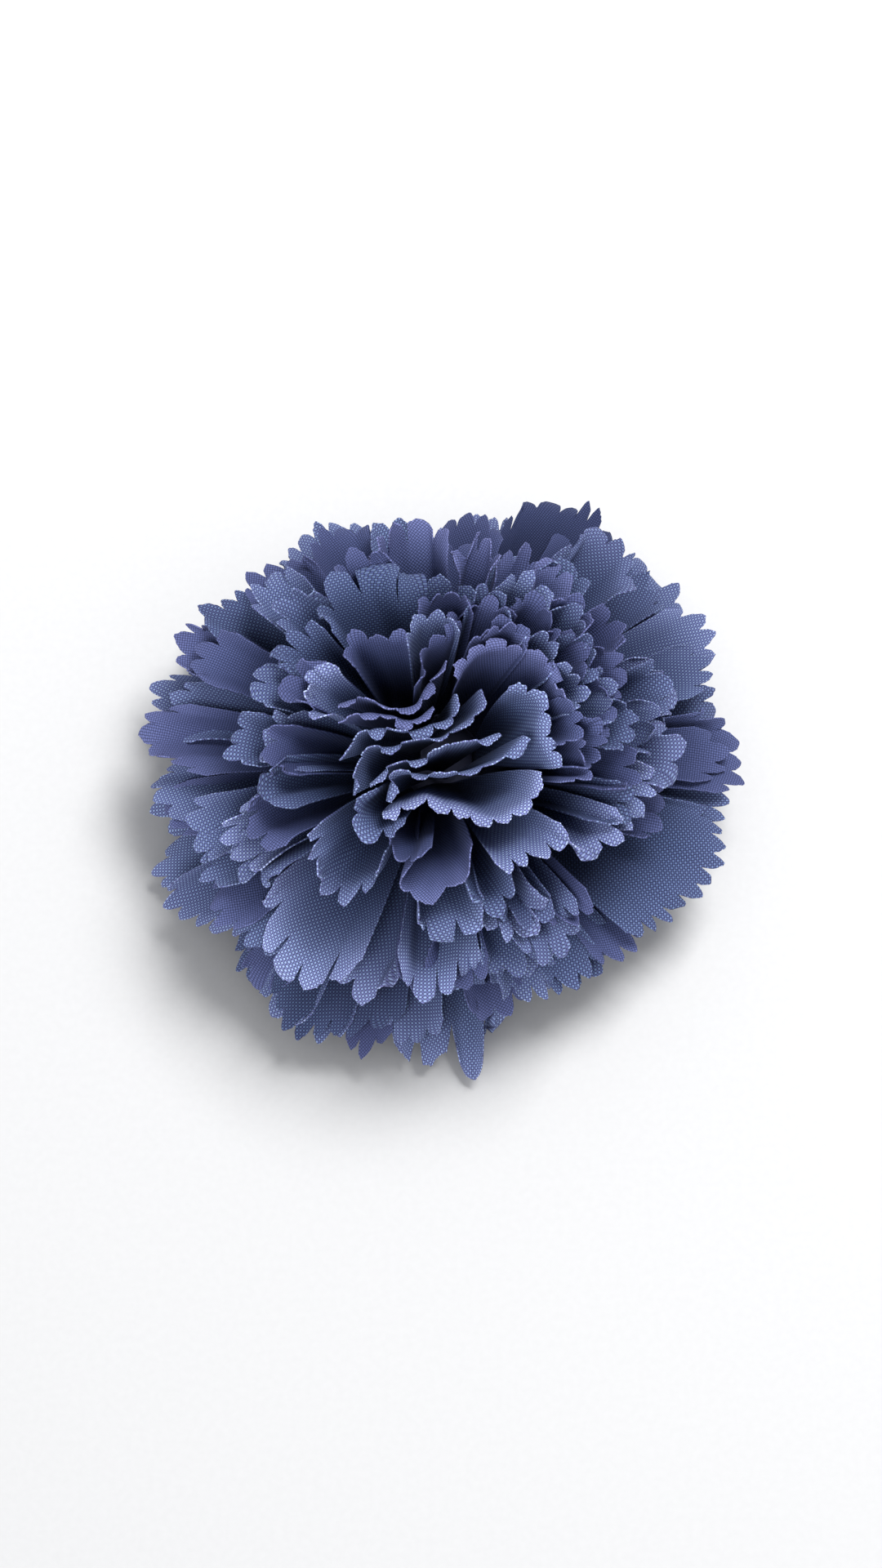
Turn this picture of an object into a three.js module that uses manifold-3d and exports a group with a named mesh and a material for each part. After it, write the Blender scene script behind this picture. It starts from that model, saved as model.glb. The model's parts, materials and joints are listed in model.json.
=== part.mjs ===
// A carnation head of stiffened cloth: 58 petals whose feet stand on a domed core, held in a green calyx.
// Millimetres, +Z up. The head rests on the flat foot of its calyx and opens upwards.
import * as THREE from "three";
import { mergeVertices } from "three/addons/utils/BufferGeometryUtils.js";
import Module from "manifold-3d";

// Overall sizes of the head.
const headDiameter = 90; // across the tips of the outer petals
const headHeight = 48; // of the dome over the whole head; the crown's middle rises nearly to it
const crownShift = new THREE.Vector2(6, -1); // how far the crown leans off the calyx's axis

// The dome that the rims follow: it falls from the crown to the tips of the outer petals.
const domeFall = 0.76; // share of the head's height lost at the outer tips
const domePower = 2.2; // how late the fall comes
const cornerRise = 0.3; // share of the dome's rise that a rim's shorter corners follow

// Cloth petals.
const petalThickness = 0.4;
const footSpacing = 0.45; // free space between one level of feet and the next
const footLevels = 11; // highest level of feet on the core
const topLevelAngle = 68; // degrees above the horizontal of the highest level
const footWidth = 3; // width of a petal where it is glued
const footReach = 16; // most degrees that a foot takes up on either side of its middle
const footCrowding = 2.6; // least radius of the core, in foot widths, that keeps feet of one level apart
const petalArch = 3.4; // how high the outer petals rise before they fall
const reachShare = 0.55; // how far out the middle of a petal lies between foot and rim
const spreadShare = 0.72; // how wide the middle of a petal is, as a share of its rim
const riseShare = 0.62; // how far up the middle of a petal lies between foot and rim

// How finely a petal is divided.
const rimStep = 3.2;
const petalSteps = 4;

// Core and calyx.
const seatGap = 0.3; // clearance between pieces that seat on each other
const cupWall = 1;
const cupDepth = 3.6; // how deep the core sits in the calyx
const cupFloor = 10; // height of the calyx's cup floor above its foot
const calyxFootRadius = 4.6;
const calyxWaist = 3; // height of the calyx's foot below its flare
const waistGrowth = 0.4; // how much wider the foot is at its top
// The flare between waist and rim: [share of the growth in radius, share of the cup floor's height].
const calyxFlare = [[0.55, 0.55], [0.92, 0.85]];
const socketDiameter = 3.4; // bore for a stem wire
const socketDepth = 8;
const lobeCount = 5;
const lobeNotch = 2; // depth of the notches between the calyx's lobes
const lobeNotchWidth = 4;
const coreInset = 0.6; // step between the dome and the neck of the core
const turnSegments = 40;
const domeSteps = 8;

// Worked out from the values above.
const levelPitch = petalThickness + footSpacing;
const coreRadius = Math.max(
  (footLevels * levelPitch) / THREE.MathUtils.degToRad(topLevelAngle),
  footWidth * footCrowding,
);
const neckRadius = coreRadius - coreInset;
const cupRadius = neckRadius + seatGap;
const cupRim = cupFloor + cupDepth;
const coreBase = cupRim + seatGap;

// Each row is one petal. `level` is the level of its foot on the core, counted from the lowest. `lift` raises
// or drops its rim from the dome, in hundredths of the head's height. `rim` is the line of its rim seen from
// above: angle in degrees, then reach in hundredths of the head's radius. `foot` is the angle of its foot
// where that isn't simply behind the rim.
const outerPetals = [
  { level: 0, lift: -10, rim: [[129, 87], [120, 96], [110, 94], [101, 83]] },
  { level: 0, lift: -18, rim: [[97, 80], [87, 89], [80, 92], [71, 84]] },
  { level: 1, lift: 6, rim: [[79, 79], [72, 99], [64, 105], [54, 100]] },
  { level: 0, lift: -5, rim: [[54, 94], [48, 104], [40, 103], [34, 98]] },
  { level: 1, lift: 4, rim: [[36, 95], [30, 103], [24, 99], [18, 88]] },
  { level: 0, lift: -16, rim: [[27, 86], [20, 95], [13, 95], [7, 86]] },
  { level: 1, lift: 0, rim: [[12, 86], [7, 98], [0, 100], [354, 94]] },
  { level: 1, lift: -3, rim: [[350, 84], [347, 94], [341, 97], [334, 95], [324, 89], [316, 86]] },
  { level: 0, lift: -21, rim: [[314, 78], [307, 86], [298, 85], [286, 77]] },
  { level: 0, lift: -22, rim: [[283, 82], [276, 100], [270, 93], [265, 97], [257, 85]] },
  { level: 1, lift: -7, rim: [[260, 86], [249, 95], [240, 100], [231, 92]] },
  { level: 0, lift: -19, rim: [[230, 84], [226, 95], [218, 88]] },
  { level: 1, lift: -6, rim: [[219, 88], [212, 96], [206, 102], [202, 94]] },
  { level: 0, lift: -15, rim: [[206, 90], [200, 101], [192, 94], [185, 96], [179, 88]] },
  { level: 2, lift: -3, rim: [[200, 79], [191, 92], [184, 96], [179, 88]] },
  { level: 3, lift: 10, rim: [[184, 84], [179, 95], [173, 100], [168, 90]] },
  { level: 1, lift: -5, rim: [[172, 88], [166, 98], [162, 100], [157, 88]] },
  { level: 2, lift: 7, rim: [[161, 86], [157, 96], [152, 96], [149, 85]] },
  { level: 0, lift: -12, rim: [[154, 84], [148, 98], [142, 95], [137, 84]] },
  { level: 1, lift: 2, rim: [[142, 84], [138, 90], [132, 89], [124, 80]] },
];
const middlePetals = [
  { level: 2, lift: 13, rim: [[62, 75], [56, 91], [49, 94], [43, 80]] },
  { level: 3, lift: 4, rim: [[117, 66], [106, 76], [99, 77], [91, 68]] },
  { level: 4, lift: 5, rim: [[90, 56], [85, 67], [81, 65], [78, 56]] },
  { level: 3, lift: -4, rim: [[78, 60], [73, 70], [68, 74], [64, 60]] },
  { level: 4, lift: 3, rim: [[65, 56], [61, 66], [56, 66], [48, 52]] },
  { level: 5, lift: 6, rim: [[143, 56], [129, 65], [117, 61], [106, 54], [93, 50], [82, 42]] },
  { level: 5, lift: -1, rim: [[196, 55], [186, 63], [178, 61], [171, 54]] },
  { level: 6, lift: 2, rim: [[176, 44], [171, 50], [164, 53], [156, 46]] },
  { level: 3, lift: 2, rim: [[214, 72], [208, 80], [201, 79], [195, 68]] },
  { level: 3, lift: 0, rim: [[247, 78], [242, 89], [236, 91], [228, 88], [217, 76]] },
  { level: 2, lift: -12, rim: [[258, 75], [254, 84], [249, 86], [244, 77]] },
  { level: 3, lift: 0, rim: [[277, 72], [270, 82], [263, 84], [256, 74]] },
  { level: 6, lift: 0, rim: [[243, 50], [241, 58], [236, 66], [229, 68], [221, 64], [213, 56]] },
  { level: 7, lift: 0, rim: [[277, 43], [271, 51], [261, 58], [253, 56], [249, 47]] },
  { level: 5, lift: 0, rim: [[279, 58], [273, 65], [264, 68], [255, 60]] },
  { level: 4, lift: -5, rim: [[297, 60], [291, 68], [284, 67], [277, 61]] },
  { level: 3, lift: 0, rim: [[307, 68], [301, 76], [294, 79], [287, 70]] },
  { level: 6, lift: 2, rim: [[313, 48], [304, 53], [293, 51], [284, 50]] },
  { level: 5, lift: 2, rim: [[333, 60], [325, 64], [318, 59], [311, 52]] },
  { level: 4, lift: -3, rim: [[352, 62], [345, 67], [337, 67], [329, 63]] },
  { level: 3, lift: 2, rim: [[6, 66], [0, 74], [354, 75], [346, 68]] },
  { level: 2, lift: -2, rim: [[26, 67], [19, 74], [12, 75], [6, 69]] },
];
const innerPetals = [
  { level: 6, lift: 0, rim: [[102, 33], [90, 37], [78, 40], [64, 40]] },
  { level: 7, lift: 0, rim: [[90, 25], [76, 30], [62, 34], [50, 31]] },
  { level: 6, lift: 0, rim: [[52, 38], [42, 45], [32, 46], [20, 42]] },
  { level: 5, lift: 0, rim: [[22, 46], [10, 50], [0, 48], [352, 42]] },
  { level: 6, lift: 0, rim: [[353, 36], [344, 42], [336, 43], [325, 38]] },
  { level: 6, lift: 2, rim: [[153, 42], [142, 45], [134, 40], [126, 32]] },
  { level: 7, lift: 0, rim: [[152, 22], [128, 25], [108, 27], [94, 31]] },
];
const crownPetals = [
  { level: 8, lift: 0, foot: 122, rim: [[174, 41], [170, 34], [171, 26], [168, 19], [144, 18], [115, 21]] },
  { level: 9, lift: 0, foot: 129, rim: [[182, 41], [176, 35], [180, 27], [184, 20], [168, 14]] },
  { level: 10, lift: 0, foot: 134, rim: [[200, 42], [190, 35], [188, 27], [192, 19], [182, 9], [130, 10]] },
  {
    level: 11,
    lift: 0,
    foot: 180,
    rim: [[216, 43], [206, 40], [198, 33], [200, 24], [208, 15], [180, 3], [80, 10]],
  },
  { level: 11, lift: 0, foot: 250, rim: [[217, 38], [212, 32], [216, 24], [228, 15], [272, 7], [325, 9]] },
  {
    level: 10,
    lift: 0,
    foot: 265,
    rim: [[228, 38], [222, 31], [232, 24], [248, 21], [272, 18], [300, 16], [340, 18]],
  },
  {
    level: 9,
    lift: 0,
    foot: 272,
    rim: [[232, 42], [240, 32], [258, 29], [277, 33], [292, 36], [306, 34], [322, 29]],
  },
  { level: 9, lift: 0, foot: 0, rim: [[40, 14], [22, 20], [8, 23], [350, 24], [338, 26], [330, 34]] },
  { level: 8, lift: 0, foot: 60, rim: [[112, 13], [92, 20], [70, 24], [48, 28], [28, 32], [10, 32]] },
];

const petalColours = ["#5a648f", "#6a78a8", "#4c5280", "#7283b0", "#5b5c8c", "#6470a0"];
const calyxColour = "#5f7a45";
const coreColour = "#262c46";

const wasm = await Module();
wasm.setup();

// Turns a three.js geometry into a manifold-3d solid.
function toSolid(geometry) {
  const bare = geometry.index ? geometry.toNonIndexed() : geometry.clone();
  bare.deleteAttribute("normal");
  bare.deleteAttribute("uv");
  const merged = mergeVertices(bare, 1e-4);
  return new wasm.Manifold(
    new wasm.Mesh({
      numProp: 3,
      vertProperties: merged.attributes.position.array,
      triVerts: new Uint32Array(merged.index.array),
    }),
  );
}

// Turns a manifold-3d solid back into a three.js geometry.
function toGeometry(solid) {
  const mesh = solid.getMesh();
  const geometry = new THREE.BufferGeometry();
  geometry.setAttribute("position", new THREE.BufferAttribute(mesh.vertProperties, 3));
  geometry.setIndex(new THREE.BufferAttribute(mesh.triVerts, 1));
  return geometry;
}

// The dome's height at a share of the head's radius.
function domeHeight(share) {
  return headHeight * (1 - domeFall * share ** domePower);
}

// A rim in the head's frame. Its longest tip stands on the dome, or lifted off it.
function rimLine(rim, lift) {
  const tip = domeHeight(Math.max(...rim.map(([, reach]) => reach)) / 100);
  const points = rim.map(([angle, reach]) => {
    const share = reach / 100;
    const out = (share * headDiameter) / 2;
    const turn = THREE.MathUtils.degToRad(angle);
    return new THREE.Vector3(
      crownShift.x * (1 - share) + out * Math.cos(turn),
      crownShift.y * (1 - share) + out * Math.sin(turn),
      THREE.MathUtils.lerp(tip, domeHeight(share), cornerRise) + (headHeight * lift) / 100,
    );
  });
  return new THREE.CatmullRomCurve3(points);
}

// The straight foot of a petal: a short line along the core at its level.
function footLine(level, turn) {
  const climb = (level * levelPitch) / coreRadius;
  const out = (coreRadius + seatGap) * Math.cos(climb);
  const middle = new THREE.Vector3(
    out * Math.cos(turn),
    out * Math.sin(turn),
    coreBase + petalThickness + (coreRadius + seatGap) * Math.sin(climb),
  );
  const half = Math.min(footWidth / 2, out * Math.tan(THREE.MathUtils.degToRad(footReach)));
  const along = new THREE.Vector3(Math.sin(turn), -Math.cos(turn), 0).multiplyScalar(half);
  return [middle.clone().sub(along), middle.clone().add(along)];
}

// A petal: each point of the foot runs to its point of the rim on a parabola that rises first and then leans
// out. The sheet gets half its thickness on either side.
function petalGeometry({ level, lift, foot, rim }) {
  const line = rimLine(rim, lift);
  const across = Math.max(6, Math.round(line.getLength() / rimStep));
  const middle = line.getPoint(0.5);
  const behind = Math.atan2(
    middle.y - crownShift.y * (level / footLevels),
    middle.x - crownShift.x * (level / footLevels),
  );
  let [first, last] = footLine(level, foot === undefined ? behind : THREE.MathUtils.degToRad(foot));
  const start = line.getPoint(0);
  const end = line.getPoint(1);
  if (start.distanceTo(first) + end.distanceTo(last) > start.distanceTo(last) + end.distanceTo(first)) {
    [first, last] = [last, first];
  }
  const arch = petalArch * (1 - level / footLevels);
  const spread = spreadShare - reachShare;
  const sheet = [];
  for (let i = 0; i <= across; i += 1) {
    const share = i / across;
    const low = first.clone().lerp(last, share);
    const high = line.getPoint(share);
    const bend = new THREE.Vector3(
      THREE.MathUtils.lerp(low.x, high.x, reachShare) + spread * (high.x - middle.x),
      THREE.MathUtils.lerp(low.y, high.y, reachShare) + spread * (high.y - middle.y),
      THREE.MathUtils.lerp(low.z, high.z, riseShare) + arch,
    );
    sheet.push(new THREE.QuadraticBezierCurve3(low, bend, high).getPoints(petalSteps));
  }
  return thicken(sheet, petalThickness);
}

// Gives a grid of points a thickness and closes it all round.
function thicken(sheet, thickness) {
  const rows = sheet.length;
  const columns = sheet[0].length;
  const positions = [];
  for (const side of [0.5, -0.5]) {
    for (let i = 0; i < rows; i += 1) {
      for (let j = 0; j < columns; j += 1) {
        const before = sheet[Math.max(i - 1, 0)][j];
        const after = sheet[Math.min(i + 1, rows - 1)][j];
        const below = sheet[i][Math.max(j - 1, 0)];
        const above = sheet[i][Math.min(j + 1, columns - 1)];
        const acrossWay = after.clone().sub(before);
        const alongWay = above.clone().sub(below);
        const normal = acrossWay.cross(alongWay).normalize();
        positions.push(...sheet[i][j].clone().addScaledVector(normal, side * thickness).toArray());
      }
    }
  }
  const other = rows * columns;
  const at = (i, j) => i * columns + j;
  const faces = [];
  const quad = (a, b, c, d) => faces.push(a, b, c, a, c, d);
  for (let i = 0; i < rows - 1; i += 1) {
    for (let j = 0; j < columns - 1; j += 1) {
      quad(at(i, j), at(i + 1, j), at(i + 1, j + 1), at(i, j + 1));
      quad(other + at(i, j), other + at(i, j + 1), other + at(i + 1, j + 1), other + at(i + 1, j));
    }
  }
  for (let i = 0; i < rows - 1; i += 1) {
    quad(at(i, 0), other + at(i, 0), other + at(i + 1, 0), at(i + 1, 0));
    const top = columns - 1;
    quad(at(i, top), at(i + 1, top), other + at(i + 1, top), other + at(i, top));
  }
  for (let j = 0; j < columns - 1; j += 1) {
    quad(at(0, j), at(0, j + 1), other + at(0, j + 1), other + at(0, j));
    const top = rows - 1;
    quad(at(top, j), other + at(top, j), other + at(top, j + 1), at(top, j + 1));
  }
  const geometry = new THREE.BufferGeometry();
  geometry.setAttribute("position", new THREE.Float32BufferAttribute(positions, 3));
  geometry.setIndex(faces);
  return geometry;
}

// A turned solid from a profile of [radius, height] points that starts and ends on the axis.
function turned(profile) {
  const points = profile.map(([radius, height]) => new THREE.Vector2(radius, height));
  const geometry = new THREE.LatheGeometry(points, turnSegments);
  geometry.rotateX(Math.PI / 2);
  return geometry;
}

// The core: a dome for the feet of the petals on a neck that seats in the calyx.
function coreGeometry() {
  const profile = [
    [0, cupFloor + seatGap],
    [neckRadius, cupFloor + seatGap],
    [neckRadius, coreBase],
  ];
  for (let i = 0; i < domeSteps; i += 1) {
    const climb = (i / domeSteps) * (Math.PI / 2);
    profile.push([coreRadius * Math.cos(climb), coreBase + coreRadius * Math.sin(climb)]);
  }
  profile.push([0, coreBase + coreRadius]);
  return turned(profile);
}

// The calyx: a flared cup on a flat foot, bored for a stem wire, its rim notched into pointed lobes.
function calyxGeometry() {
  const outer = cupRadius + cupWall;
  const socket = socketDiameter / 2;
  const body = toSolid(turned([
    [0, socketDepth],
    [socket, socketDepth],
    [socket, 0],
    [calyxFootRadius, 0],
    [calyxFootRadius + waistGrowth, calyxWaist],
    ...calyxFlare.map(([growth, climb]) => [
      THREE.MathUtils.lerp(calyxFootRadius, outer, growth),
      cupFloor * climb,
    ]),
    [outer, cupRim],
    [cupRadius, cupRim],
    [cupRadius, cupFloor],
    [0, cupFloor],
  ]));
  const notchShape = new THREE.Shape([
    new THREE.Vector2(-lobeNotchWidth / 2, 0),
    new THREE.Vector2(0, -lobeNotch),
    new THREE.Vector2(lobeNotchWidth / 2, 0),
    new THREE.Vector2(lobeNotchWidth / 2, 1),
    new THREE.Vector2(-lobeNotchWidth / 2, 1),
  ]);
  let cup = body;
  for (let i = 0; i < lobeCount; i += 1) {
    const notch = new THREE.ExtrudeGeometry(notchShape, { depth: outer + 1, bevelEnabled: false });
    notch.rotateX(Math.PI / 2);
    notch.rotateZ((i / lobeCount) * 2 * Math.PI);
    notch.translate(0, 0, cupRim);
    cup = cup.subtract(toSolid(notch));
  }
  return toGeometry(cup);
}

function named(name, geometry, colour, roughness) {
  const material = new THREE.MeshStandardMaterial({ color: colour, roughness, metalness: 0 });
  const mesh = new THREE.Mesh(geometry, material);
  mesh.name = name;
  return mesh;
}

const head = new THREE.Group();
head.add(named("calyx", calyxGeometry(), calyxColour, 0.55));
head.add(named("core", coreGeometry(), coreColour, 0.7));
const rings = { outer: outerPetals, middle: middlePetals, inner: innerPetals, crown: crownPetals };
for (const [ring, petals] of Object.entries(rings)) {
  petals.forEach((petal, index) => {
    const name = `${ring}_petal_${String(index + 1).padStart(2, "0")}`;
    head.add(named(name, petalGeometry(petal), petalColours[index % petalColours.length], 0.9));
  });
}

// The origin is under the middle of the head, on the surface that it rests on.
const box = new THREE.Box3().setFromObject(head);
const centre = box.getCenter(new THREE.Vector3());
head.position.set(-centre.x, -centre.y, -box.min.z);

export default head;
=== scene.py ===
"""A carnation head of stiffened cloth: toothed, pleated petals gathered on a core in a green calyx.

Petals are worked out in millimetres around the calyx's axis and written to their meshes in metres.
"""

import json
import math
from collections import namedtuple

import bpy
import numpy as np
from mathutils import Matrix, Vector


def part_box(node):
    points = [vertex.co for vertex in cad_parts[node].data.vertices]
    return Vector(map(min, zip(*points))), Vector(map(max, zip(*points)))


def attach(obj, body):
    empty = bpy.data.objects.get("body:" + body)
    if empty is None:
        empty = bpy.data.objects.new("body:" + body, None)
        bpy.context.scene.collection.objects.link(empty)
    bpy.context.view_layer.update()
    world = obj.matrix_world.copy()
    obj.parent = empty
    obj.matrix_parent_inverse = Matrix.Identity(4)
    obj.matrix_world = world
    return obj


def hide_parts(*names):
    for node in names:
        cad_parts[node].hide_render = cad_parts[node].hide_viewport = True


bl_info = {
    "name": "Cloth Carnation Head",
    "version": (1, 0, 0),
    "blender": (4, 5, 0),
    "location": "View3D > Sidebar > Carnation",
    "description": "Builds a cloth carnation head around its packed frame",
    "category": "Object",
}

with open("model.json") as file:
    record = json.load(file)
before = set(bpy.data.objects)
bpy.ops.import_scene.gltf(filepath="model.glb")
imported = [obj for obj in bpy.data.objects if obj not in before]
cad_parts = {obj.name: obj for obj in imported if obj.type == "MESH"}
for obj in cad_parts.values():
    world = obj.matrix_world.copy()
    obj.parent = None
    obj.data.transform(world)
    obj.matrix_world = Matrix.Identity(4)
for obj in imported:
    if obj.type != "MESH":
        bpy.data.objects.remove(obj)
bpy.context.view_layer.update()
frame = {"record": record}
MM = 0.001

# Where the head stands, from the frame.
CALYX_LOW, CALYX_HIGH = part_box("calyx")
CORE_LOW, CORE_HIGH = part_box("core")
AXIS = (CALYX_LOW + CALYX_HIGH) / 2
CUP_RIM = CALYX_HIGH.z / MM
CUP_OUTER = (CALYX_HIGH.x - CALYX_LOW.x) / 2 / MM
CORE_RADIUS = (CORE_HIGH.x - CORE_LOW.x) / 2 / MM
CORE_BASE = CORE_HIGH.z / MM - CORE_RADIUS
SLOTS = {part["node"]: part["material_slot"] for part in frame["record"]["subparts"]}
FINISH = "finished_"  # before a slot's name in the name of its finished material
CROSS_THREAD = (0.125, 0.15, 0.345)  # the darker threads that cross the lit ones

# The calyx and core, as in the frame.
CUP_WALL = 1.0
CUP_FLOOR = 10.0
SEAT_GAP = 0.3
FOOT_RADIUS = 4.6
WAIST = (5.0, 3.0)
FLARE = ((5.9, 4.1), (6.85, 5.5), (7.7, 7.0), (8.35, 8.5), (8.7, 10.2))
SOCKET_RADIUS = 1.7
SOCKET_DEPTH = 8.0
LOBES = 5
LOBE_NOTCH = 2.0
LOBE_NOTCH_WIDTH = 4.0
CORE_INSET = 0.6
EDGE_ROUND = 0.25
TURN_STEPS = 120

# The dome that the rims follow, as in the frame.
CROWN_SHIFT = np.array((6.0, -1.0))
DOME_FALL = 0.76
DOME_POWER = 2.2
CORNER_RISE = 0.3

# Petals between foot and rim, as in the frame.
FRAME_CLOTH = 0.4
LEVEL_PITCH = 0.85
TOP_LEVEL = 11
FOOT_WIDTH = 3.0
FOOT_REACH = math.radians(16)
PETAL_ARCH = 3.4
REACH_SHARE = 0.55
SPREAD_SHARE = 0.72
RISE_SHARE = 0.62

# How a petal is cut and shaped, in millimetres and degrees.
# lobe: width of a tooth; slit: depth of the cuts between teeth; point: how far a tooth's shoulders fall
# below its tip; gap: share of a tooth that its slits open; pleat: height of the pleats at the rim;
# pleat_width: their spacing; lip, lip_length: how far the rim turns towards the upper face, and over what
# length; curl: how far single teeth bend; cup: how far the sides rise; gutter: how far a tooth's own sides
# rise; dye: how much lighter or darker the petal is made, partly its dyed tone and partly painted light and
# shade for where it lies.
Look = namedtuple("Look", "lobe slit point gap pleat pleat_width lip lip_length curl cup gutter dye")
RING_LOOKS = {
    "outer": Look(3.0, 0.9, 1.9, 0.30, 1.0, 13.0, -18.0, 9.0, 26.0, 0.8, 0.3, -0.1),
    "middle": Look(3.5, 2.0, 1.9, 0.24, 1.1, 10.0, -26.0, 6.0, 42.0, 0.9, 0.4, 0.0),
    "inner": Look(2.9, 0.9, 1.5, 0.26, 0.8, 8.0, -20.0, 4.0, 40.0, 0.6, 0.3, -0.2),
    "crown": Look(3.4, 0.9, 0.9, 0.20, 0.5, 9.0, -46.0, 3.4, 50.0, 0.2, 0.2, 0.0),
}

# How the cut and the folds vary, and how finely a petal is drawn.
TOOTH_WIDTHS = (0.7, 1.3)  # least and greatest share of the mean
SLIT_DEPTHS = (0.45, 1.35)
TIP_SWAY = 0.3  # how far a tooth's tip lies off its middle
TIP_FALLS = (0.0, 0.7)  # how far whole teeth fall below the rim, in shares of `point`
SHOULDER_POWER = 1.25  # above 1, a tooth's shoulders are hollow near its tip
FRAY = 0.09  # roughness of the cut edge
RIPPLE, RIPPLE_PITCH = 0.12, 0.5
COLUMN_PITCH = 0.44
COLUMN_CROWDING = 1.35
ROW_PITCH = 1.1
ROW_COUNTS = (18, 40)
ROW_CROWDING = 1.6
CURVE_STEPS = 400
PLEAT_SIZES = (0.6, 0.55, 0.1)
PLEAT_RATES = np.array((1.0, 0.53, 1.9))
PLEAT_SPREAD = (0.75, 1.3)
PLEAT_CLIMB = 1.3
FOLD_SHARPNESS = 0.92
LIP_SPREAD = (0.5, 1.5)
LIP_POWER = 1.2
MOST_BEND = 150.0
DYE_SPREAD = 0.1

# Each row is one petal: the level of its foot on the core, the lift of its rim off the dome in hundredths of
# the head's height, the angle of its foot or None for straight behind the rim, the rim's line seen from above
# as (angle, hundredths of the head's radius), and what sets it apart from the others in its ring.
# Dye changes in these rows are partly painted light and shade: petals are lightened or darkened for where
# they lie.
OUTER_PETALS = (
    (0, -10, None, ((129, 87), (120, 96), (110, 94), (101, 83)), {}),
    (0, -18, None, ((97, 80), (87, 89), (80, 92), (71, 84)), {}),
    (1, 6, None, ((79, 79), (72, 99), (64, 105), (54, 100)), {"slit": 1.8, "dye": -0.45}),
    (0, -5, None, ((54, 94), (48, 104), (40, 103), (34, 98)), {}),
    (1, 4, None, ((36, 95), (30, 103), (24, 99), (18, 88)), {}),
    (0, -16, None, ((27, 86), (20, 95), (13, 95), (7, 86)), {}),
    (1, 0, None, ((12, 86), (7, 98), (0, 100), (354, 94)), {}),
    (1, -3, None, ((350, 84), (347, 94), (341, 97), (334, 95), (324, 89), (316, 86)), {"dye": -0.35}),
    (0, -21, None, ((314, 78), (307, 86), (298, 85), (286, 77)), {"dye": -0.4}),
    (0, -22, None, ((283, 82), (276, 100), (270, 93), (265, 97), (257, 85)), {"slit": 5.5, "lobe": 7.5}),
    (1, -7, None, ((260, 86), (249, 95), (240, 100), (231, 92)), {"dye": -0.45}),
    (0, -19, None, ((230, 84), (226, 95), (218, 88)), {"dye": -0.45}),
    (1, -6, None, ((219, 88), (212, 96), (206, 102), (202, 94)), {}),
    (0, -15, None, ((206, 90), (200, 101), (192, 94), (185, 96), (179, 88)), {}),
    (2, -3, None, ((200, 79), (191, 92), (184, 96), (179, 88)), {}),
    (3, 10, None, ((184, 84), (179, 95), (173, 100), (168, 90)), {}),
    (1, -5, None, ((172, 88), (166, 98), (162, 100), (157, 88)), {}),
    (2, 7, None, ((161, 86), (157, 96), (152, 96), (149, 85)), {}),
    (0, -12, None, ((154, 84), (148, 98), (142, 95), (137, 84)), {}),
    (1, 2, None, ((142, 84), (138, 90), (132, 89), (124, 80)), {}),
)
MIDDLE_PETALS = (
    (2, 13, None, ((62, 75), (56, 91), (49, 94), (43, 80)), {"slit": 1.2}),
    (3, 4, None, ((117, 66), (106, 76), (99, 77), (91, 68)), {"slit": 3.4, "lobe": 3.8}),
    (4, 5, None, ((90, 56), (85, 67), (81, 65), (78, 56)), {}),
    (3, -4, None, ((78, 60), (73, 70), (68, 74), (64, 60)), {}),
    (4, 3, None, ((65, 56), (61, 66), (56, 66), (48, 52)), {}),
    (5, 6, None, ((143, 56), (129, 65), (117, 61), (106, 54), (93, 50), (82, 42)),
     {"slit": 4.6, "lobe": 5.6, "dye": -0.4}),
    (5, -1, None, ((196, 55), (186, 63), (178, 61), (171, 54)), {}),
    (6, 2, None, ((176, 44), (171, 50), (164, 53), (156, 46)), {}),
    (3, 2, None, ((214, 72), (208, 80), (201, 79), (195, 68)), {}),
    (3, 0, None, ((247, 78), (242, 89), (236, 91), (228, 88), (217, 76)),
     {"slit": 5.6, "lobe": 5.8, "dye": 0.4}),
    (2, -12, None, ((258, 75), (254, 84), (249, 86), (244, 77)), {"slit": 4.0, "lobe": 4.4, "dye": 0.3}),
    (3, 0, None, ((277, 72), (270, 82), (263, 84), (256, 74)), {"slit": 4.0, "lobe": 4.6, "dye": 0.25}),
    (6, 0, None, ((243, 50), (241, 58), (236, 66), (229, 68), (221, 64), (213, 56)), {"slit": 1.8}),
    (7, 0, None, ((277, 43), (271, 51), (261, 58), (253, 56), (249, 47)), {"slit": 0.6, "lobe": 7.0}),
    (5, 0, None, ((279, 58), (273, 65), (264, 68), (255, 60)), {"slit": 3.4, "lobe": 4.6}),
    (4, -5, None, ((297, 60), (291, 68), (284, 67), (277, 61)), {}),
    (3, 0, None, ((307, 68), (301, 76), (294, 79), (287, 70)), {}),
    (6, 2, None, ((313, 48), (304, 53), (293, 51), (284, 50)), {}),
    (5, 2, None, ((333, 60), (325, 64), (318, 59), (311, 52)), {}),
    (4, -3, None, ((352, 62), (345, 67), (337, 67), (329, 63)), {}),
    (3, 2, None, ((6, 66), (0, 74), (354, 75), (346, 68)), {}),
    (2, -2, None, ((26, 67), (19, 74), (12, 75), (6, 69)), {}),
)
INNER_PETALS = (
    (6, 0, None, ((102, 33), (90, 37), (78, 40), (64, 40)), {}),
    (7, 0, None, ((90, 25), (76, 30), (62, 34), (50, 31)), {}),
    (6, 0, None, ((52, 38), (42, 45), (32, 46), (20, 42)), {}),
    (5, 0, None, ((22, 46), (10, 50), (0, 48), (352, 42)), {}),
    (6, 0, None, ((353, 36), (344, 42), (336, 43), (325, 38)), {}),
    (6, 2, None, ((153, 42), (142, 45), (134, 40), (126, 32)), {}),
    (7, 0, None, ((152, 22), (128, 25), (108, 27), (94, 31)), {}),
)
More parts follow.
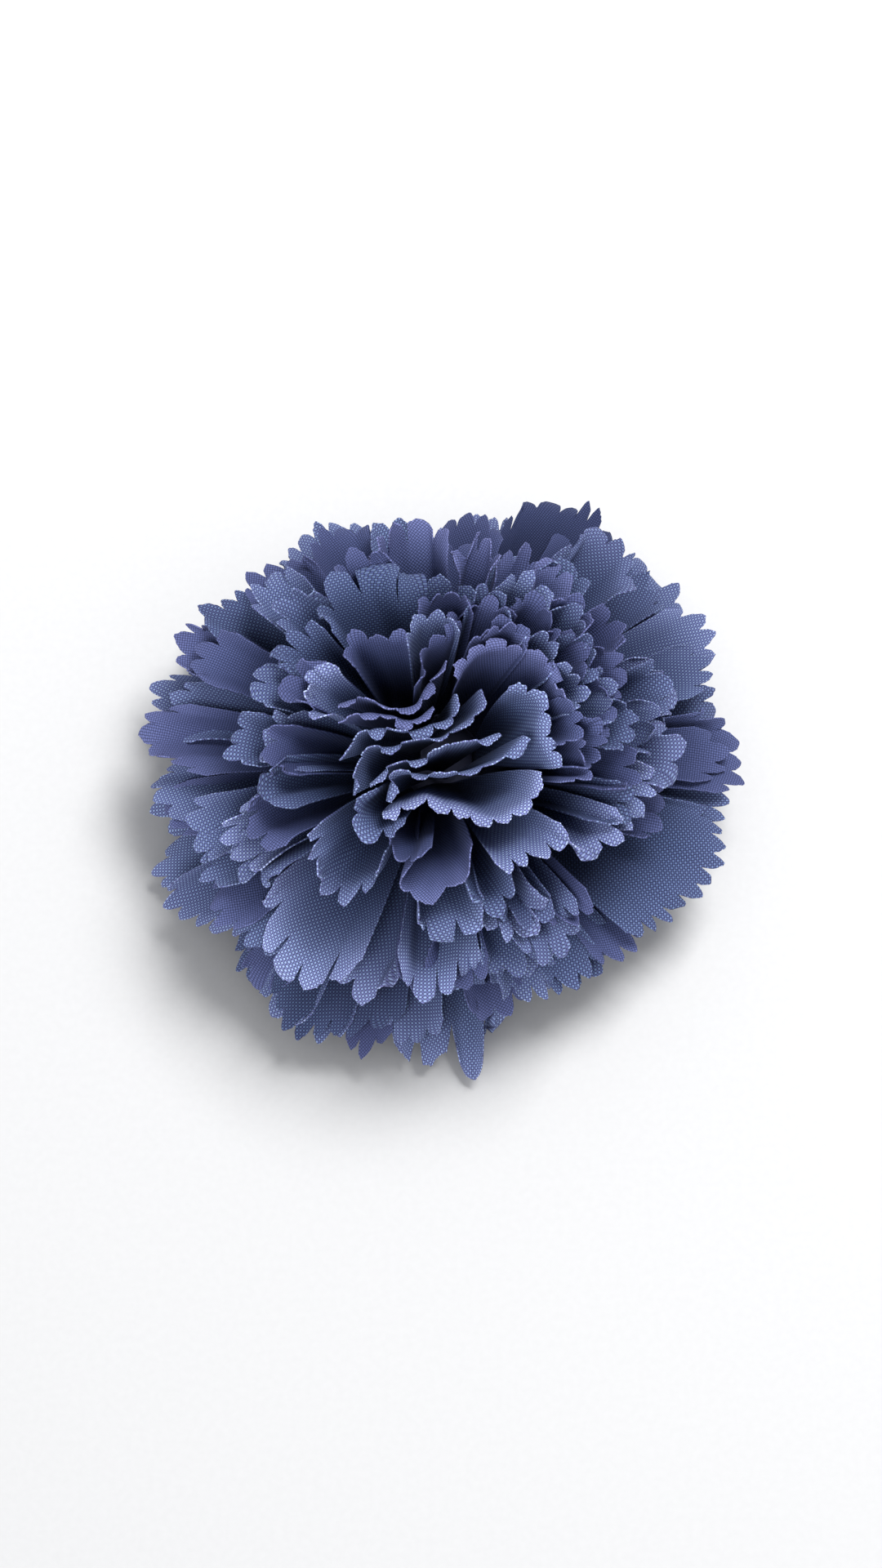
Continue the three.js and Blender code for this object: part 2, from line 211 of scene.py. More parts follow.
CROWN_PETALS = (
    (8, 0, 122, ((174, 41), (170, 34), (171, 26), (168, 19), (144, 18), (115, 21)), {}),
    (9, 0, 129, ((182, 41), (176, 35), (180, 27), (184, 20), (168, 14)), {}),
    (10, 0, 134, ((200, 42), (190, 35), (188, 27), (192, 19), (182, 9), (130, 10)), {}),
    (11, 0, 180, ((216, 43), (206, 40), (198, 33), (200, 24), (208, 15), (180, 3), (80, 10)), {}),
    (11, 0, 250, ((217, 38), (212, 32), (216, 24), (228, 15), (272, 7), (325, 9)), {}),
    (10, 0, 265, ((228, 38), (222, 31), (232, 24), (248, 21), (272, 18), (300, 16), (340, 18)), {}),
    (9, 0, 272, ((232, 42), (240, 32), (258, 29), (277, 33), (292, 36), (306, 34), (322, 29)), {"dye": 0.3}),
    (9, 0, 0, ((40, 14), (22, 20), (8, 23), (350, 24), (338, 26), (330, 34)), {}),
    (8, 0, 60, ((112, 13), (92, 20), (70, 24), (48, 28), (28, 32), (10, 32)), {}),
)

# Small petals that fill the gaps between the others. Each row is one: the level of its foot, the lift of its
# rim, and the angle and the reach of its rim's middle.
FILLER_WIDTHS = {"outer": 9.6, "middle": 9.6, "inner": 10.0}
FILLER_SLOTS = ("cloth_slate", "cloth_violet", "cloth_slate", "cloth_pale", "cloth_violet")
FIRST_FILLER_SEED = 100
# Fillers are darkened as painted shade, since they lie deeper among the petals.
FILLER_PAINTED_SHADE = -0.25
FILLER_SHOULDERS = (6, 0, 1, 7)  # how far the rim's points fall short of the reach, from side to side
OUTER_FILLERS = (
    (1.5, -2, 116, 89), (1.5, -4, 103, 83), (2.5, 4, 137, 84), (0.5, -10, 84, 88), (2.5, 6, 146, 94),
    (1.5, -4, 59, 97), (0.5, -8, 44, 97), (0.5, -6, 22, 95), (0.5, -6, 2, 93), (0.5, -10, 352, 94),
    (0.5, -16, 313, 88), (0.5, -20, 301, 85), (0.5, -21, 290, 84), (0.5, -21, 281, 86), (0.5, -19, 262, 92),
    (0.5, -17, 252, 97), (1.5, -12, 244, 98), (1.5, -12, 236, 99), (0.5, -14, 228, 95), (1.5, -5, 223, 90),
    (1.5, 1, 215, 92), (2.5, 2, 206, 89), (2.5, 3, 198, 88), (0.5, -8, 190, 93), (1.5, 0, 168, 93),
    (2.5, 5, 157, 90),
)
MIDDLE_FILLERS = (
    (3.5, 4, 118, 70), (3.5, 4, 139, 72), (4.5, 5, 65, 54), (4.5, 6, 46, 57), (3.5, 3, 57, 70),
    (3.5, 3, 34, 66), (3.5, 4, 14, 73), (3.5, 2, 2, 68), (4.5, 0, 345, 61), (4.5, 0, 332, 62),
    (3.5, -6, 303, 73), (3.5, -5, 291, 68), (2.5, -8, 286, 78), (2.5, -9, 272, 78), (4.5, -2, 281, 60),
    (5.5, 2, 246, 51), (5.5, 3, 229, 47),
    (2.5, 1, 211, 80), (3.5, 4, 205, 73), (4.5, 4, 197, 66), (4.5, 4, 188, 63), (3.5, 3, 181, 73),
    (4.5, 4, 164, 67), (5.5, 4, 165, 57), (4.5, 5, 152, 64), (1.5, -20, 262, 79), (1.5, -22, 276, 79),
    (1.5, -20, 290, 76), (1.5, -23, 248, 80), (1.5, -19, 100, 76), (1.5, -21, 86, 74), (1.5, -20, 72, 72),
    (1.5, -22, 358, 73), (1.5, -20, 342, 72), (1.5, -23, 16, 72), (3.5, -20, 352, 70), (3.5, -21, 8, 70),
    (1.5, -24, 93, 78), (1.5, -22, 110, 78),
)
INNER_FILLERS = (
    (7.5, 0, 66, 34), (7.5, 0, 42, 37), (7.5, 0, 18, 40), (7.5, 0, 356, 36), (6.5, 2, 78, 43),
    (6.5, 2, 55, 47), (6.5, 2, 31, 50), (6.5, 1, 11, 51), (6.5, 1, 348, 46), (5.5, 3, 44, 54),
    (5.5, 2, 21, 57), (5.5, 1, 1, 56), (6.5, 2, 112, 36), (5.5, 2, 98, 44),
)
RINGS = {"outer": OUTER_PETALS, "middle": MIDDLE_PETALS, "inner": INNER_PETALS, "crown": CROWN_PETALS}
FILLERS = {"outer": OUTER_FILLERS, "middle": MIDDLE_FILLERS, "inner": INNER_FILLERS}

# The stage, in metres from a point inside the head.
HEAD_MIDDLE = 0.02
FLOOR_HALF = 3.0
KEY_PLACE, KEY_SIZE = Vector((0.30, 0.40, 0.80)), 0.42
FILL_PLACE, FILL_SIZE = Vector((-0.32, -0.58, 0.72)), 0.7
CAMERA_AIM = 0.001  # how far behind the calyx's axis the camera looks
SHARP_HEIGHT = 0.025  # the height whose size in the picture the frame height sets


class CarnationCloth(bpy.types.PropertyGroup):
    """Sizes and colours of the petal cloth."""

    head_diameter: bpy.props.FloatProperty(
        name="Head diameter", description="Across the tips of the outer petals", default=0.092, unit="LENGTH"
    )
    head_height: bpy.props.FloatProperty(
        name="Head height", description="Height of the dome over the head", default=0.048, unit="LENGTH"
    )
    thickness: bpy.props.FloatProperty(
        name="Cloth thickness", description="Thickness of the stiffened cloth", default=0.00022, unit="LENGTH"
    )
    thread_pitch: bpy.props.FloatProperty(
        name="Thread pitch", description="From one thread to the next",
        default=0.00037, precision=5, unit="LENGTH",
    )
    slate: bpy.props.FloatVectorProperty(
        name="Slate cloth", description="Lit threads of the slate blue petals", subtype="COLOR",
        size=3, default=(0.27, 0.36, 0.63),
    )
    violet: bpy.props.FloatVectorProperty(
        name="Violet cloth", description="Lit threads of the petals that shade to violet", subtype="COLOR",
        size=3, default=(0.15, 0.178, 0.395),
    )
    pale: bpy.props.FloatVectorProperty(
        name="Pale cloth", description="Lit threads of the palest petals", subtype="COLOR",
        size=3, default=(0.33, 0.42, 0.70),
    )


class CarnationBase(bpy.types.PropertyGroup):
    """Colours of the calyx and core."""

    calyx: bpy.props.FloatVectorProperty(
        name="Calyx", description="Moulded plastic of the calyx", subtype="COLOR",
        size=3, default=(0.075, 0.16, 0.045),
    )
    # The core is near-black navy: partly its own dark colour, partly painted shade for the deep cavity
    # between the crown petals.
    core: bpy.props.FloatVectorProperty(
        name="Core", description="Plastic under the feet of the petals", subtype="COLOR",
        size=3, default=(0.022, 0.026, 0.06),
    )


class CarnationStage(bpy.types.PropertyGroup):
    """Camera and light."""

    elevation: bpy.props.FloatProperty(
        name="Elevation", description="How steeply the camera looks down",
        default=math.radians(75), subtype="ANGLE",
    )
    lens: bpy.props.FloatProperty(name="Lens", description="Focal length in millimetres", default=135)
    frame_height: bpy.props.FloatProperty(
        name="Frame height", description="What the picture's height spans at the head",
        default=0.2304, unit="LENGTH",
    )
    key_power: bpy.props.FloatProperty(
        name="Key light", description="Power of the key light", default=8.3, unit="POWER"
    )
    fill_power: bpy.props.FloatProperty(
        name="Fill light", description="Power of the fill light", default=8.0, unit="POWER"
    )
    ambient: bpy.props.FloatProperty(name="Ambient", description="Strength of the room's light", default=0.46)


# Mesh helpers


def unit(vectors):
    """Each vector divided by its length."""
    return vectors / np.maximum(np.linalg.norm(vectors, axis=-1, keepdims=True), 1e-9)


def put_mesh(name, points, faces, slot, smooth=True):
    """A new object from points in metres and faces; it rides on the part's one body."""
    mesh = bpy.data.meshes.new(name)
    mesh.from_pydata(points, [], faces)
    mesh.polygons.foreach_set("use_smooth", np.full(len(mesh.polygons), smooth))
    mesh.materials.append(bpy.data.materials[FINISH + slot])
    piece = bpy.data.objects.new(name, mesh)
    bpy.context.scene.collection.objects.link(piece)
    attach(piece, "root")
    return piece


def grid_faces(columns, rows):
    """Quads of a grid whose points are stored column by column."""
    corner = (np.arange(columns - 1)[:, None] * rows + np.arange(rows - 1)[None, :]).ravel()
    return np.stack((corner, corner + rows, corner + rows + 1, corner + 1), axis=1)


def put_attribute(mesh, name, values):
    """A number for each point of a mesh, for its material to read."""
    mesh.attributes.new(name, "FLOAT", "POINT").data.foreach_set("value", values.astype(np.float32))


def put_uv(mesh, name, flat):
    """A UV map from flat cloth coordinates in metres, one for each point."""
    corners = np.empty(len(mesh.loops), np.int32)
    mesh.loops.foreach_get("vertex_index", corners)
    mesh.uv_layers.new(name=name).data.foreach_set("uv", flat[corners].astype(np.float32).ravel())


def turned_piece(name, node, profile, lowered=None):
    """A profile of (radius, height) in millimetres turned round the calyx's axis into a closed solid that
    stands for a node. It starts and ends on the axis, where the turned points close to one. `lowered` gives
    how far each point is lowered at each angle."""
    angle = np.linspace(0, 2 * math.pi, TURN_STEPS, endpoint=False)[:, None]
    reach, height = np.array(profile[1:-1]).T
    level = height[None, :] - (0 if lowered is None else lowered(angle, height[None, :]))
    level = np.broadcast_to(level, (TURN_STEPS, len(reach)))
    ring = np.stack((reach * np.cos(angle), reach * np.sin(angle), level), axis=2).reshape(-1, 3)
    points = np.vstack((ring, (0, 0, profile[0][1]), (0, 0, profile[-1][1])))
    rows, first, last = len(reach), len(ring), len(ring) + 1
    start = np.arange(TURN_STEPS) * rows
    after = np.roll(start, -1)
    faces = []
    for j in range(rows - 1):
        faces += np.stack((start + j, after + j, after + j + 1, start + j + 1), axis=1).tolist()
    faces += np.stack((np.full(TURN_STEPS, first), after, start), axis=1).tolist()
    faces += np.stack((start + rows - 1, after + rows - 1, np.full(TURN_STEPS, last)), axis=1).tolist()
    piece = put_mesh(name, points * MM + np.array((AXIS.x, AXIS.y, 0)), faces, SLOTS[node])
    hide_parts(node)
    return piece


# Petals


def centripetal_curve(points, shares):
    """Points at shares of the centripetal Catmull-Rom curve through points: on each stretch a cubic whose end
    slopes come from its neighbours, weighted by the square roots of the distances, with both ends run on
    straight."""
    ends = np.vstack((2 * points[0] - points[1], points, 2 * points[-1] - points[-2]))
    steps = np.sqrt(np.linalg.norm(np.diff(ends, axis=0), axis=1))
    place = np.clip(shares, 0, 1) * (len(points) - 1)
    stretch = np.minimum(place.astype(int), len(points) - 2)
    part = (place - stretch)[:, None]
    before, start, stop, after = (ends[stretch + k] for k in range(4))
    step0, step1, step2 = (steps[stretch + k][:, None] for k in range(3))
    chord = (stop - start) / step1
    slope_start = ((start - before) / step0 - (stop - before) / (step0 + step1) + chord) * step1
    slope_stop = (chord - (after - start) / (step1 + step2) + (after - stop) / step2) * step1
    return (
        start
        + slope_start * part
        + (3 * (stop - start) - 2 * slope_start - slope_stop) * part**2
        + (2 * (start - stop) + slope_start + slope_stop) * part**3
    )


def dome_height(share, height):
    """The dome's height at a share of the head's radius: the full height less a power of the share."""
    return height * (1 - DOME_FALL * share**DOME_POWER)


def rim_points(rim, lift, radius, height):
    """The rim's chosen points, in millimetres from the calyx's axis, as the frame places them."""
    angle, reach = np.radians([p[0] for p in rim]), np.array([p[1] for p in rim]) / 100
    tip = dome_height(reach.max(), height)
    level = tip + CORNER_RISE * (dome_height(reach, height) - tip) + height * lift / 100
    across = CROWN_SHIFT[0] * (1 - reach) + reach * radius * np.cos(angle)
    deep = CROWN_SHIFT[1] * (1 - reach) + reach * radius * np.sin(angle)
    return np.stack((across, deep, level), axis=1)


def foot_ends(level, angle, first, last):
    """The two ends of a petal's foot on the core, in the order that keeps the petal from twisting."""
    climb = level * LEVEL_PITCH / CORE_RADIUS
    out = (CORE_RADIUS + SEAT_GAP) * math.cos(climb)
    height = CORE_BASE + FRAME_CLOTH + (CORE_RADIUS + SEAT_GAP) * math.sin(climb)
    middle = np.array((out * math.cos(angle), out * math.sin(angle), height))
    half = min(FOOT_WIDTH / 2, out * math.tan(FOOT_REACH))
    along = np.array((math.sin(angle), -math.cos(angle), 0)) * half
    low, high = middle - along, middle + along
    straight = np.linalg.norm(first - low) + np.linalg.norm(last - high)
    crossed = np.linalg.norm(first - high) + np.linalg.norm(last - low)
    return (high, low) if straight > crossed else (low, high)


def soft_wave(angle):
    """A wave between a sine and a zigzag: flat flanks between rounded folds."""
    return np.arcsin(FOLD_SHARPNESS * np.sin(angle)) / math.asin(FOLD_SHARPNESS)


def cut_teeth(width, look, dice):
    """The columns of a petal across its rim, grouped by tooth. For each column: its share of the rim, its
    tooth, its place in the tooth from -1 to 1, and how far its edge lies below the rim in millimetres.
    A tooth falls from its pointed tip along slightly rounded shoulders, and the slit beside it opens as a V.
    Columns crowd towards the slits."""
    count = max(1, round(width / look.lobe))
    sizes = dice.uniform(*TOOTH_WIDTHS, count)
    bounds = np.concatenate(([0], np.cumsum(sizes))) / sizes.sum()
    slits = look.slit * dice.uniform(*SLIT_DEPTHS, count + 1)
    slits[[0, -1]] = 0
    columns = max(8, 2 * round(width / count / COLUMN_PITCH))
    spread = np.linspace(-1, 1, columns, endpoint=False)
    place = np.sign(spread) * (1 - (1 - np.abs(spread)) ** COLUMN_CROWDING)
    tooth = np.repeat(np.arange(count), columns)
    place = np.append(np.tile(place, count), 1.0)
    tooth = np.append(tooth, count - 1)
    share = bounds[tooth] + (place + 1) / 2 * np.diff(bounds)[tooth]
    tips = dice.uniform(-TIP_SWAY, TIP_SWAY, count)[tooth]
    lean = np.where(place > tips, (place - tips) / (1 - tips), (tips - place) / (1 + tips))
    heights = look.point * dice.uniform(*TIP_FALLS, count)[tooth]
    opening = np.clip((np.abs(place) - 1 + look.gap) / look.gap, 0, 1)
    depth = np.where(place < 0, slits[tooth], slits[tooth + 1])
    drop = heights + look.point * lean**SHOULDER_POWER + depth * opening
    drop += FRAY * dice.standard_normal(len(drop)) + RIPPLE * np.abs(np.sin(share * width / RIPPLE_PITCH))
    return share, tooth, place, drop - drop.min(), depth


def petal_sheet(row, ring, index, radius, height):
    """Points of one petal's sheet. Column by column a parabola runs from the foot to the rim, as in the
    frame, cut short by its teeth. The sheet is pushed along its own normal by pleats that grow towards the
    rim and by the cup of its sides, and its stretches are then turned up or down by the lip and by each
    tooth's own bend, which grow towards the edge. Returns the points in millimetres by column and row, their
    flat cloth coordinates, their distance from the cut edge and their share of the way to the rim."""
    level, lift, foot, rim, changes = row
    look = RING_LOOKS[ring]._replace(**changes)
    dice = np.random.default_rng((index, sum(map(ord, ring)), 0))
    marks = rim_points(rim, lift, radius, height)
    even = np.linspace(0, 1, CURVE_STEPS)
    fine = centripetal_curve(marks, even)
    walked = np.concatenate(([0], np.cumsum(np.linalg.norm(np.diff(fine, axis=0), axis=1))))
    width = walked[-1]
    share, tooth, place, drop, depth = cut_teeth(width, look, dice)
    shares = np.interp(share * width, walked, even)
    middle = centripetal_curve(marks, np.array([0.5]))[0]
    lean = middle[:2] - CROWN_SHIFT * level / TOP_LEVEL
    angle = math.atan2(lean[1], lean[0]) if foot is None else math.radians(foot)
    left, right = foot_ends(level, angle, marks[0], marks[-1])
    arch = PETAL_ARCH * (1 - level / TOP_LEVEL)
    waves = dice.uniform(*PLEAT_SPREAD, 3) * PLEAT_RATES * 2 * math.pi / look.pleat_width
    starts = dice.uniform(0, 2 * math.pi, 3)
    turns = dice.normal(0, 1, tooth.max() + 1)
    lip = look.lip * dice.uniform(*LIP_SPREAD)

    def base(u, t):
        high = centripetal_curve(marks, u.ravel()).reshape(u.shape + (3,))
        low = left + (right - left) * u[..., None]
        bend = low + (high - low) * np.array((REACH_SHARE, REACH_SHARE, RISE_SHARE))
        bend[..., :2] += (SPREAD_SHARE - REACH_SHARE) * (high - middle)[..., :2]
        bend[..., 2] += arch
        t = t[..., None]
        return (1 - t) ** 2 * low + 2 * t * (1 - t) * bend + t**2 * high

    def normal(points_at, u, t):
        step = 1e-3
        over = points_at(np.minimum(u + step, 1), t) - points_at(np.maximum(u - step, 0), t)
        along = points_at(u, t + step) - points_at(u, t - step)
        return unit(np.cross(over, along))

    def shaped(u, t):
        s = np.interp(u.ravel(), even, walked).reshape(u.shape)
        folds = zip(PLEAT_SIZES, waves, starts)
        rise = sum(size * soft_wave(wave * s + start) for size, wave, start in folds)
        push = look.pleat * rise * np.clip(t, 0, 1) ** PLEAT_CLIMB
        push = push + look.cup * facing * (2 * s / width - 1) ** 2 * np.sin(np.clip(t, 0, 1) * math.pi / 2)
        return base(u, t) + normal(base, u, t) * push[..., None]

    probe = normal(base, np.array([0.5]), np.array([0.7]))[0]
    inward = np.array((*(CROWN_SHIFT - middle[:2]) * 0.4 / radius, 1.0))
    facing = 1.0 if probe @ inward > 0 else -1.0
    coarse = base(shares[:, None], np.linspace(0, 1, 12)[None, :] + 0 * shares[:, None])
    length = np.linalg.norm(np.diff(coarse, axis=1), axis=2).sum(axis=1)
    rows = int(np.clip(round(length.mean() / ROW_PITCH), *ROW_COUNTS))
    stops = 1 - (1 - np.linspace(0, 1, rows + 1)) ** ROW_CROWDING
    top = 1 - drop / length
    u = np.repeat(shares[:, None], rows + 1, axis=1)
    t = top[:, None] * stops[None, :]
    points = shaped(u, t)
    over = (t[:, 1:] + t[:, :-1]) / 2
    from_rim = (1 - over) * length[:, None]
    lip_part = np.clip(1 - from_rim / look.lip_length, 0, 1) ** LIP_POWER
    tooth_length = (depth + look.point + 1.5)[:, None]
    tooth_part = np.clip(1 - from_rim / tooth_length, 0, 1)
    side = (2 * share - 1)[:, None]
    bend = lip * lip_part + look.curl * turns[tooth][:, None] * tooth_part
    bend = np.radians(np.clip(bend, -MOST_BEND, MOST_BEND)) * facing
    steps = np.diff(points, axis=1)
    spans = np.linalg.norm(steps, axis=2, keepdims=True)
    up = normal(shaped, u[:, 1:], over)
    turned = steps * np.cos(bend)[..., None] + up * spans * np.sin(bend)[..., None]
    points = np.concatenate((points[:, :1], points[:, :1] + np.cumsum(turned, axis=1)), axis=1)
    gutter = look.gutter * place[:, None] ** 2 * np.clip(1 - (1 - t) * length[:, None] / tooth_length, 0, 1)
    points += normal(shaped, u, t) * (gutter * facing * np.sign(turns[tooth] + 0.4)[:, None])[..., None]
    climbed = np.concatenate((np.zeros((len(u), 1)), np.cumsum(spans[..., 0], axis=1)), axis=1)
    growth = (width - np.linalg.norm(right - left)) / length.mean()
    fan = np.linalg.norm(right - left) / growth
    turn = side * width / 2 / (fan + length.mean())
    flat = np.stack(((fan + climbed) * np.sin(turn), (fan + climbed) * np.cos(turn)), axis=2)
    beside = (1 - np.abs(place))[:, None] * width / (tooth.max() + 1) / 2
    below = np.maximum(0, (1 - t) * length[:, None] - (look.point + depth)[:, None]) * 0.8
    edge = np.minimum((top[:, None] - t) * length[:, None], beside + below)
    edge = np.minimum(edge, (share * (1 - share) * width)[:, None] * np.clip(t, 0.2, 1))
    if facing < 0:
        points, flat, edge, t = points[::-1], flat[::-1], edge[::-1], t[::-1]
    return points, flat, edge, t


def put_petal(row, ring, index, name, slot, cloth):
    """One petal as a solid sheet of cloth, with its grain turned at random. Its points carry what its
    material reads: the distance from the cut edge in millimetres, the share of the way to the rim, by which
    the material paints shade towards the foot, and the dye, partly the petal's own tone and partly painted
    light and shade."""
    radius, height = cloth.head_diameter / 2 / MM, cloth.head_height / MM
    points, flat, edge, along = petal_sheet(row, ring, index, radius, height)
    points = points * MM + np.array((AXIS.x, AXIS.y, 0))
    columns, rows = points.shape[:2]
    piece = put_mesh(name, points.reshape(-1, 3), grid_faces(columns, rows), slot)
    grain = np.random.default_rng(index).uniform(0, math.pi)
    turned = flat @ np.array(((math.cos(grain), math.sin(grain)), (-math.sin(grain), math.cos(grain))))
    put_uv(piece.data, "cloth", turned.reshape(-1, 2) * MM)
    put_attribute(piece.data, "edge", np.maximum(edge, 0).ravel())
    put_attribute(piece.data, "climb", along.ravel())
    dye = RING_LOOKS[ring]._replace(**row[-1]).dye
    dye += np.random.default_rng((index, len(ring))).uniform(-DYE_SPREAD, DYE_SPREAD)
    put_attribute(piece.data, "dye", np.full(columns * rows, dye))
    solid = piece.modifiers.new("Cloth thickness", "SOLIDIFY")
    solid.thickness = cloth.thickness
    solid.offset = 0
    return piece


def filler_row(level, lift, angle, reach, width, radius):
    """A small petal's row in the form that the other petals have: an arched rim of four points."""
    half = math.degrees(width / (reach / 100 * radius)) / 2
    turns = np.linspace(half, -half, len(FILLER_SHOULDERS))
    rim = tuple((angle + turn, reach - fall) for turn, fall in zip(turns, FILLER_SHOULDERS))
    return (level, lift, None, rim, {"dye": FILLER_PAINTED_SHADE})


# Materials


class Nodes:
    """A short way to build a node tree: each call adds a node, sets its inputs and returns its output."""

    def __init__(self, name, plain_inputs):
        self.material = bpy.data.materials.new(FINISH + name)
        self.material.use_nodes = True
        self.tree = self.material.node_tree
        self.shader = self.tree.nodes["Principled BSDF"]
        for socket, value in plain_inputs.items():
            self.shader.inputs[socket].default_value = value

    def add(self, kind, inputs=(), out=0, **settings):
        node = self.tree.nodes.new(kind)
        for key, value in settings.items():
            setattr(node, key, value)
        for key, value in dict(inputs).items():
            if isinstance(value, bpy.types.NodeSocket):
                self.tree.links.new(value, node.inputs[key])
            else:
                node.inputs[key].default_value = value
        return node.outputs[out]

    def math(self, operation, a, b=0.0, clamp=False):
        return self.add("ShaderNodeMath", {0: a, 1: b}, operation=operation, use_clamp=clamp)

    def mix(self, share, a, b, blend="MIX"):
        return self.add("ShaderNodeMix", {0: share, 6: a, 7: b}, 2, data_type="RGBA", blend_type=blend)

    def map(self, value, low, high, to_low=0.0, to_high=1.0):
        return self.add("ShaderNodeMapRange", {0: value, 1: low, 2: high, 3: to_low, 4: to_high}, clamp=True)

    def noise(self, vector, scale, detail=2.0):
        return self.add("ShaderNodeTexNoise", {"Vector": vector, "Scale": scale, "Detail": detail})

    def link(self, value, socket):
        self.tree.links.new(value, self.shader.inputs[socket])


def shade(colour, factor):
    """A colour made lighter or darker, with a full alpha."""
    return tuple(min(1.0, c * factor) for c in colour) + (1.0,)


def cloth_material(slot, thread, cross, pitch):
    """Plain-woven cloth. Warp and weft are sine ridges across the flat cloth. Where the product of their
    waves is positive the warp lies on top, where it is negative the weft does, each as a float that is longer
    than it is wide. Threads are two tones of one blue, dark where they dive, and clouded by slow noise.
    Towards the petal's foot, where the petals crowd, they are darkened as painted shade. Each petal is
    lightened or darkened by its dye, partly its own tone and partly painted light and shade. At the cut edge
    they are lighter, partly from frayed threads and partly as a painted highlight. Darker cloth is bluer too,
    painting
    the deeper blue of shade: red and green fall by a higher power of the brightness than blue does."""
    n = Nodes(slot, {
        "Sheen Weight": 0.03, "Sheen Roughness": 0.45, "Sheen Tint": (0.62, 0.7, 1.0, 1.0),
        "Specular IOR Level": 0.15,
    })
    flat = n.add("ShaderNodeUVMap", uv_map="cloth")
    place = n.add("ShaderNodeTexCoord", out=3)
    warped = n.add("ShaderNodeVectorMath", {0: flat, 3: math.pi / pitch}, operation="SCALE")
    wander = n.noise(place, 260.0, 1.0)
    split = n.tree.nodes.new("ShaderNodeSeparateXYZ")
    n.tree.links.new(warped, split.inputs[0])
    across, along = (
        n.math("SINE", n.math("ADD", split.outputs[side], n.math("MULTIPLY", wander, sway)))
        for side, sway in ((0, 1.6), (1, -1.6))
    )
    crossing = n.math("MULTIPLY", across, along)
    on_top = n.map(crossing, -0.08, 0.08)
    ridge = [n.math("ABSOLUTE", wave) for wave in (across, along)]
    warp, weft = (
        n.math("MULTIPLY", n.math("POWER", round_way, 0.8), n.math("POWER", long_way, 0.3))
        for round_way, long_way in (ridge, ridge[::-1])
    )
    height = n.add("ShaderNodeMix", {0: on_top, 2: weft, 3: warp})
    edge, climb, dye = (
        n.add("ShaderNodeAttribute", out=2, attribute_name=name) for name in ("edge", "climb", "dye")
    )
    clouds = n.noise(place, 55.0, 3.0)
    threads = n.mix(on_top, shade(cross, 1.0), shade(thread, 1.0))
    woven = n.mix(n.map(height, 0.12, 0.8), shade(cross, 0.25), threads)
    dyed = n.mix(n.map(clouds, 0.35, 0.7), n.mix(0.32, woven, (0.045, 0.04, 0.12, 1.0)), woven)
    # Painted shade: darker towards the petal's foot, where the petals crowd and shade each other.
    painted_shade_to_foot = n.math("ADD", n.math("POWER", n.map(climb, 0.2, 1.0), 2.1), 0.15)
    bright = n.math("MULTIPLY", painted_shade_to_foot, n.math("ADD", dye, 1.02))
    # Lighter at the cut edge: partly frayed threads, partly a painted highlight along the edge.
    fray_and_painted_light = n.math("MULTIPLY", bright, n.map(edge, 0.0, 0.25, 1.3, 1.0))
    # Darker colour turns bluer, painting the deeper blue of shade.
    deep = {0: n.math("POWER", fray_and_painted_light, 1.3), 1: n.math("POWER", fray_and_painted_light, 1.15), 2: fray_and_painted_light}
    n.link(n.mix(1.0, dyed, n.add("ShaderNodeCombineColor", deep), "MULTIPLY"), "Base Color")
    n.link(n.map(height, 0.0, 1.0, 0.85, 0.62), "Roughness")
    fuzz = n.noise(place, 2400.0, 2.0)
    relief = n.math("ADD", height, n.math("MULTIPLY", fuzz, 0.35))
    creases = n.noise(place, 150.0, 2.0)
    soft = n.add("ShaderNodeBump", {"Strength": 0.35, "Distance": 0.0006, "Height": creases})
    bump = n.add("ShaderNodeBump", {"Strength": 0.8, "Distance": 0.00009, "Height": relief, "Normal": soft})
    n.link(bump, "Normal")


def plastic_material(slot, colour, roughness):
    """Moulded plastic: faint clouds in the colour, a fine mould grain and slightly worn, uneven gloss."""
    n = Nodes(slot, {"Specular IOR Level": 0.45})
    place = n.add("ShaderNodeTexCoord", out=3)
    clouds = n.noise(place, 140.0, 3.0)
    n.link(n.mix(n.map(clouds, 0.3, 0.75), shade(colour, 0.72), shade(colour, 1.25)), "Base Color")
    n.link(n.map(n.noise(place, 420.0), 0.3, 0.7, roughness - 0.08, roughness + 0.1), "Roughness")
    grain = n.noise(place, 3200.0, 2.0)
    n.link(n.add("ShaderNodeBump", {"Strength": 0.25, "Distance": 0.00005, "Height": grain}), "Normal")


def floor_material():
    """Pale, matt paper with the faintest grain."""
    n = Nodes("floor", {"Roughness": 0.9, "Specular IOR Level": 0.1})
    grain = n.noise(n.add("ShaderNodeTexCoord", out=3), 900.0, 2.0)
    n.link(n.mix(n.map(grain, 0.3, 0.7), (0.87, 0.87, 0.875, 1), (0.89, 0.89, 0.895, 1)), "Base Color")
    return n.material


# Operators


class CARNATION_OT_materials(bpy.types.Operator):
    """Makes the cloth and plastic materials, one for each slot of the record."""

    bl_idname = "carnation.materials"
    bl_label = "Materials"

    def execute(self, context):
        cloth, base = context.scene.carnation_cloth, context.scene.carnation_base
        cloth_material("cloth_slate", cloth.slate, CROSS_THREAD, cloth.thread_pitch)
        cloth_material("cloth_violet", cloth.violet, CROSS_THREAD, cloth.thread_pitch)
        cloth_material("cloth_pale", cloth.pale, shade(CROSS_THREAD, 1.25)[:3], cloth.thread_pitch)
        plastic_material("calyx_plastic", base.calyx, 0.48)
        plastic_material("core_foam", base.core, 0.75)
        return {"FINISHED"}


